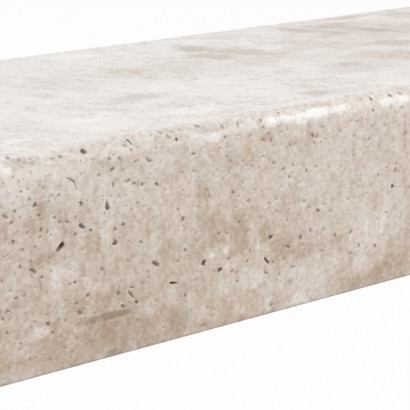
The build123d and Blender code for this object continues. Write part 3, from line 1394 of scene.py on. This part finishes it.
    def _top_share(self, bench: SurfaceBench) -> Socket:
        """Gives the share of walking surface, with an uneven line on the nosing.

        Args:
            bench: The material's bench.

        Returns:
            1 on top and 0 on the sides.
        """
        wander = bench.noise(bench.place, self.line_size, self.line_detail)
        up_sway, back_sway = self.line_sways
        height = bench.scaled(wander, up_sway, bench.axes["Z"])
        above = bench.step(height, *(self.rise + level for level in self.line_rise))
        depth = bench.scaled(wander, back_sway, bench.axes["Y"])
        behind = bench.step(depth, *(self.nosing_end + level for level in self.line_depth))
        return bench.product(above, behind)

    def _side_colour(self, bench: SurfaceBench) -> Socket:
        """Gives the colour of the sides: buff, browner low down, worn pale high up, streaked and clouded.

        Args:
            bench: The material's bench.

        Returns:
            The colour.
        """
        height = bench.axes["Z"]
        drift = bench.step(bench.noise(bench.place, self.low_brown_size), *self.low_brown_levels)
        colour = self.low_brown.over(bench, Tone.BUFF.value, height, drift)
        worn = bench.scaled(bench.noise(bench.place, self.worn_size), self.worn_sway, height)
        share = bench.step(worn, *(self.rise + level for level in self.worn_rise))
        colour = bench.tinted(colour, Tone.PALE, share, self.worn_strength)
        rim = bench.step(height, *(self.rise + level for level in self.rim_rise))
        colour = bench.tinted(colour, Tone.PALE, rim)
        streak = bench.noise(bench.vector("MULTIPLY", bench.place, self.streak_squash), self.streak_size, 1.0)
        zone = bench.step(bench.noise(bench.place, self.streak_zone_size, 1.0), *self.streak_zone_levels)
        for wash in self.streaks:
            colour = wash.over(bench, colour, streak, zone)
        squashed = bench.vector("MULTIPLY", bench.place, self.cloud_squash)
        cloud = bench.noise(squashed, self.cloud_size, self.cloud_detail)
        for wash in self.clouds:
            colour = wash.over(bench, colour, cloud)
        tint = bench.noise(bench.place, self.tint_size, 1.0)
        lower = bench.step(height, *(self.rise + level for level in self.tint_rise))
        for wash in self.tints:
            colour = wash.over(bench, colour, tint, lower)
        return colour

    def _soiled(self, bench: SurfaceBench, colour: Feed) -> Socket:
        """Soils the line where the walking surface turns into the nosing.

        Args:
            bench: The material's bench.
            colour: The colour so far.

        Returns:
            The colour with flecks of soil.
        """
        wander = bench.scaled(bench.noise(bench.place, self.soil_size), self.soil_sway, bench.axes["Y"])
        start = bench.step(wander, *(self.nosing_end + level for level in self.soil_start))
        end = bench.step(wander, *(self.nosing_end + level for level in self.soil_end))
        high = bench.step(bench.axes["Z"], *(self.rise + level for level in self.soil_rise))
        flecks = bench.step(bench.noise(bench.place, self.fleck_size), *self.fleck_levels)
        share = bench.product(flecks, self.soil_strength)
        return bench.tinted(colour, Tone.GREY, start, end, high, share)

    def _wandering(self, bench: SurfaceBench, size: float, shift: float) -> Socket:
        """Gives a shift that changes from place to place, so that stains lose their even outline.

        Args:
            bench: The material's bench.
            size: Distance over which it changes.
            shift: How far it goes.

        Returns:
            The shift, along the tread and up.
        """
        other = bench.vector("ADD", bench.place, self.wander_shift)
        feeds = {0: bench.noise(bench.place, size), 1: 0.5, 2: bench.noise(other, size)}
        cloud = bench.node("ShaderNodeCombineXYZ", feeds).outputs[0]
        swing = self.wander_swing * shift
        centred = bench.vector("SUBTRACT", cloud, (0.5, 0.5, 0.5))
        return bench.vector("MULTIPLY", centred, (swing, swing, swing))

    def _turned_to_front(self, bench: SurfaceBench) -> Socket:
        """Turns places on all sides to the front's seen stretch, so that its stains serve the whole block.

        The back and the ends are turned to the front, and what lies past the picture's edge is mirrored.

        Args:
            bench: The material's bench.

        Returns:
            The place on the front.
        """
        along = bench.axes["X"]
        across = bench.axes["Y"]
        far_x = bench.math("ABSOLUTE", along)
        far_y = bench.math("ABSOLUTE", across)
        past = (self.block.high.x - self.block.high.y) / MM
        on_end = bench.math("GREATER_THAN", bench.math("SUBTRACT", far_x, far_y), past)
        long_side = bench.product(along, bench.product(bench.math("SIGN", across), -1.0))
        end_side = bench.scaled(across, bench.math("SIGN", along), -self.end_shift)
        round_plan = bench.pick(on_end, long_side, end_side)
        squeeze = self.mirror_squeeze
        mirrored = bench.scaled(round_plan, -squeeze, self.mirror_at * (1.0 + squeeze))
        deep = bench.pick(on_end, bench.product(far_y, -1.0), bench.math("SUBTRACT", past, far_x))
        feeds = {0: bench.math("MINIMUM", round_plan, mirrored), 1: deep, 2: bench.axes["Z"]}
        return bench.node("ShaderNodeCombineXYZ", feeds).outputs[0]

    def _seen_patch(self, stain: Stain) -> Patch:
        """Carries a stain of the picture onto the block.

        Args:
            stain: The stain.

        Returns:
            The patch. Where the skin is flat or nearly so, it goes deep enough to reach it through the waves.
        """
        middle, outward = self.block.facing(Vector(self.camera.place), self.camera.sight(stain.spot))
        length, width = stain.reach
        on_top = outward.z > self.nearly_flat
        reach = (length, width, width)
        if on_top:
            reach = (length, width, self.stain_depth)
        elif outward.y < -self.nearly_flat:
            reach = (length, self.stain_depth, width)
        return Patch(middle / MM, reach, stain.tone, stain.strength, on_top or stain.tone in LONE_TONES)

    def _unseen_top_patches(self, like: list[Patch]) -> list[Patch]:
        """Lays more patches at random on the top, where the picture doesn't show it.

        Args:
            like: The patches that they are like.

        Returns:
            The new patches.
        """
        draw = random.Random(SEED)
        laid = []
        while len(laid) < self.more_top_stains:
            patch = draw.choice(like)
            middle = patch.middle.copy()
            middle.x = draw.uniform(self.block.low.x, self.block.high.x) / MM
            middle.y = draw.uniform(self.block.low.y, self.block.high.y) / MM
            reach = Vector((patch.reach[0], patch.reach[1], 0.0))
            corners = [middle + reach * Vector((x, y, 0.0)) for x in (-1, 0, 1) for y in (-1, 0, 1)]
            if not any(self.camera.shows(corner * MM) for corner in corners):
                laid.append(replace(patch, middle=middle))
        return laid

    def _stained(self, bench: SurfaceBench, colour: Feed) -> Feed:
        """Lays over a colour the stains that the picture shows with the painted highlights on the nosing, and
        more stains on the rest of the top.

        Args:
            bench: The material's bench.
            colour: The colour so far.

        Returns:
            The colour with its stains, one tone after another.
        """
        tree = stain_group()
        wide = self._wandering(bench, *self.wide_wander)
        narrow = self._wandering(bench, *self.narrow_wander)
        turned = self._turned_to_front(bench)
        places = {
            (lone, small): bench.vector("ADD", bench.place if lone else turned, narrow if small else wide)
            for lone in (True, False)
            for small in (True, False)
        }
        breakup = bench.scaled(bench.noise(bench.place, self.breakup_size), self.breakup, -self.breakup / 2)
        for marks in (TOP_STAINS, NOSING_STAINS_AND_HIGHLIGHTS, FRONT_BROWN_STAINS, FRONT_PALE_STAINS):
            patches = [self._seen_patch(stain) for stain in marks]
            if marks is TOP_STAINS:
                patches += self._unseen_top_patches(patches)
            for tone in dict.fromkeys(patch.tone for patch in patches):
                bare = 1.0
                for patch in (patch for patch in patches if patch.tone is tone):
                    feeds = {
                        "Place": places[patch.lone, min(patch.reach) < self.small_stain],
                        "Centre": patch.middle,
                        "Reach": patch.reach,
                        "Breakup": breakup,
                        "Left": 1.0 - patch.strength,
                        "Bare": bare,
                    }
                    bare = bench.node("ShaderNodeGroup", feeds, node_tree=tree).outputs["Bare"]
                colour = bench.tinted(colour, tone, bench.math("SUBTRACT", 1.0, bare))
        return colour

    def _mottled(self, bench: SurfaceBench, colour: Feed, top: Feed) -> Socket:
        """Lightens and darkens a colour by mottling of several sizes, and by float marks on top.

        Args:
            bench: The material's bench.
            colour: The colour so far.
            top: The share of walking surface.

        Returns:
            The mottled colour.
        """
        turn = (0.0, 0.0, -math.radians(self.float_angle))
        feeds = {"Vector": bench.place, "Rotation": turn, "Scale": self.float_stretch}
        floated = bench.node("ShaderNodeMapping", feeds, vector_type="TEXTURE").outputs[0]
        sides = self._sum_of_noises(bench, bench.place, self.side_mottles)
        clouded = self._sum_of_noises(bench, bench.place, self.top_mottles)
        marked = self._sum_of_noises(bench, floated, self.float_marks)
        value = bench.pick(top, sides, bench.math("ADD", clouded, marked))
        colour = bench.tinted(colour, Tone.WHITE, value, self.lighter)
        return bench.tinted(colour, Tone.DARK_BROWN, value, -self.darker)

    def _sum_of_noises(self, bench: SurfaceBench, place: Feed, mottles: tuple[Span, ...]) -> Feed:
        """Adds up noises.

        Args:
            bench: The material's bench.
            place: Where they are read.
            mottles: Their sizes and strengths.

        Returns:
            The sum, 0 on average.
        """
        total = 0.0
        for size, strength in mottles:
            centred = bench.scaled(bench.noise(place, size, 0.0), strength, -strength / 2)
            total = bench.math("ADD", centred, total)
        return total

    def _painted_pit_shade(self, bench: SurfaceBench, colour: Feed) -> Socket:
        """Paints shade into the pits, more with their depth, and a highlight onto their lower lips, where the
        light falls.

        Args:
            bench: The material's bench.
            colour: The colour so far.

        Returns:
            The colour with the painted shade and highlights of its pits.
        """
        hollow = bench.node("ShaderNodeAttribute", attribute_name=HOLLOW).outputs["Fac"]
        # painted highlight on lower lips where the attribute is below 0, then painted shade in the pits
        colour = bench.tinted(colour, Tone.WHITE, hollow, -1.0)
        return bench.tinted(colour, Tone.PIT_SHADE, hollow)


@dataclass(frozen=True)
class Studio:
    """A pale floor, a white surround, soft light from above and in front, and less from behind."""

    block: TreadBlock
    floor_size: float = 60.0
    floor_grey: float = 0.75
    floor_share: float = 0.93
    floor_lift: float = 0.2 * MM  # so that the bed shows from below
    seat_margin: float = 5 * MM
    sky: float = 0.50
    key_power: float = 76.0
    key_place: Triple = (0.2, -1.6, 3.1)
    key_size: float = 2.2
    fill_power: float = 26.0
    fill_place: Triple = (-0.6, 2.6, 0.9)
    fill_size: float = 2.0

    def build(self) -> None:
        """Sets up the floor, the world and the lamps."""
        bpy.context.scene.view_settings.view_transform = "Standard"
        self._floor()
        self._world()
        self._lamp("key", self.key_place, self.key_power, self.key_size)
        self._lamp("fill", self.fill_place, self.fill_power, self.fill_size)

    def _seen_share(self, bench: Bench) -> Socket:
        """Tells what is seen from what only lights the block.

        Args:
            bench: The bench of the floor's material or the world.

        Returns:
            1 for what the camera sees straight, in gloss or through glass, and 0 for plain light.
        """
        path = bench.node("ShaderNodeLightPath").outputs
        seen = bench.math("MAXIMUM", path["Is Camera Ray"], path["Is Glossy Ray"])
        return bench.math("MAXIMUM", seen, path["Is Transmission Ray"])

    def _floor(self) -> None:
        """Adds the floor, which shows white and keeps a light shadow."""
        bpy.ops.object.select_all(action="DESELECT")
        bpy.ops.mesh.primitive_plane_add(size=self.floor_size, location=(0.0, 0.0, self.floor_lift))
        floor = bpy.context.object
        floor.name = "studio_floor"
        self._open_seat(floor)
        made = bpy.data.materials.new("studio_floor")
        made.use_nodes = True
        bench = Bench(made.node_tree)
        grey = (self.floor_grey, self.floor_grey, self.floor_grey, 1.0)
        matt = bench.node("ShaderNodeBsdfDiffuse", {"Color": grey})
        white = bench.node("ShaderNodeEmission", {"Color": PURE_WHITE, "Strength": 1.0})
        share = bench.product(self._seen_share(bench), self.floor_share)
        mixed = bench.node("ShaderNodeMixShader", {0: share, 1: matt.outputs[0], 2: white.outputs[0]})
        bench.node("ShaderNodeOutputMaterial", {"Surface": mixed.outputs[0]})
        floor.data.materials.append(made)

    def _open_seat(self, floor: bpy.types.Object) -> None:
        """Opens the floor under the block, so that the bed and its pits can be seen from below.

        Args:
            floor: The floor, with its place still in the object.
        """
        bpy.ops.object.transform_apply(location=True)
        bpy.ops.object.mode_set(mode="EDIT")
        for axis in range(2):
            normal = Vector((0.0, 0.0, 0.0))
            normal[axis] = 1.0
            for edge in (self.block.low[axis] + self.seat_margin, self.block.high[axis] - self.seat_margin):
                bpy.ops.mesh.select_all(action="SELECT")
                bpy.ops.mesh.bisect(plane_co=normal * edge, plane_no=normal)
        bpy.ops.mesh.select_mode(type="FACE")
        bpy.ops.mesh.select_all(action="DESELECT")
        bpy.ops.object.mode_set(mode="OBJECT")
        for face in floor.data.polygons:
            face.select = face.center.length < self.seat_margin
        bpy.ops.object.mode_set(mode="EDIT")
        bpy.ops.mesh.delete(type="FACE")
        bpy.ops.object.mode_set(mode="OBJECT")

    def _world(self) -> None:
        """Makes the surround white to the eye and a plain soft light to the object."""
        world = bpy.context.scene.world or bpy.data.worlds.new("studio")
        bpy.context.scene.world = world
        world.use_nodes = True
        bench = Bench(world.node_tree)
        light = bench.node("ShaderNodeBackground", {"Color": PURE_WHITE, "Strength": self.sky})
        white = bench.node("ShaderNodeBackground", {"Color": PURE_WHITE, "Strength": 1.0})
        feeds = {0: self._seen_share(bench), 1: light.outputs[0], 2: white.outputs[0]}
        mixed = bench.node("ShaderNodeMixShader", feeds)
        bench.node("ShaderNodeOutputWorld", {"Surface": mixed.outputs[0]})

    def _lamp(self, name: str, place: Triple, power: float, size: float) -> None:
        """Adds a square lamp that shines at the tread.

        Args:
            name: Its name.
            place: Where it stands.
            power: Its power in watts.
            size: Length of its sides.
        """
        aim = (-Vector(place)).to_track_quat("-Z", "Y").to_euler()
        bpy.ops.object.light_add(type="AREA", location=place, rotation=aim)
        lamp = bpy.context.object
        lamp.name = name
        lamp.data.energy = power
        lamp.data.size = size


def main() -> None:
    """Builds the tread, its pits and its finish, and then the studio around it."""
    logging.basicConfig(level=logging.INFO, format="%(name)s: %(message)s")
    camera = PictureCamera()
    camera.build()
    low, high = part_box(TREAD_NODE)
    block = TreadBlock(low, high)
    piece = block.build()
    log.info("block: %d faces before its pits", len(piece.data.polygons))
    pitting = Pitting(block, camera)
    pitting.add_picture_marks()
    pitting.add_unseen_faces()
    pitting.cut()
    block.finish_edges()
    CartonLayout(block).apply(pitting.homes)
    piece.data.materials.clear()
    piece.data.materials.append(ConcreteFinish(block, camera).material())
    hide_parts(TREAD_NODE)
    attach(piece, "root")
    triangles = sum(len(face.vertices) - 2 for face in piece.data.polygons)
    log.info("%s: %d triangles", piece.name, triangles)
    Studio(block).build()


if __name__ == "__main__":
    main()
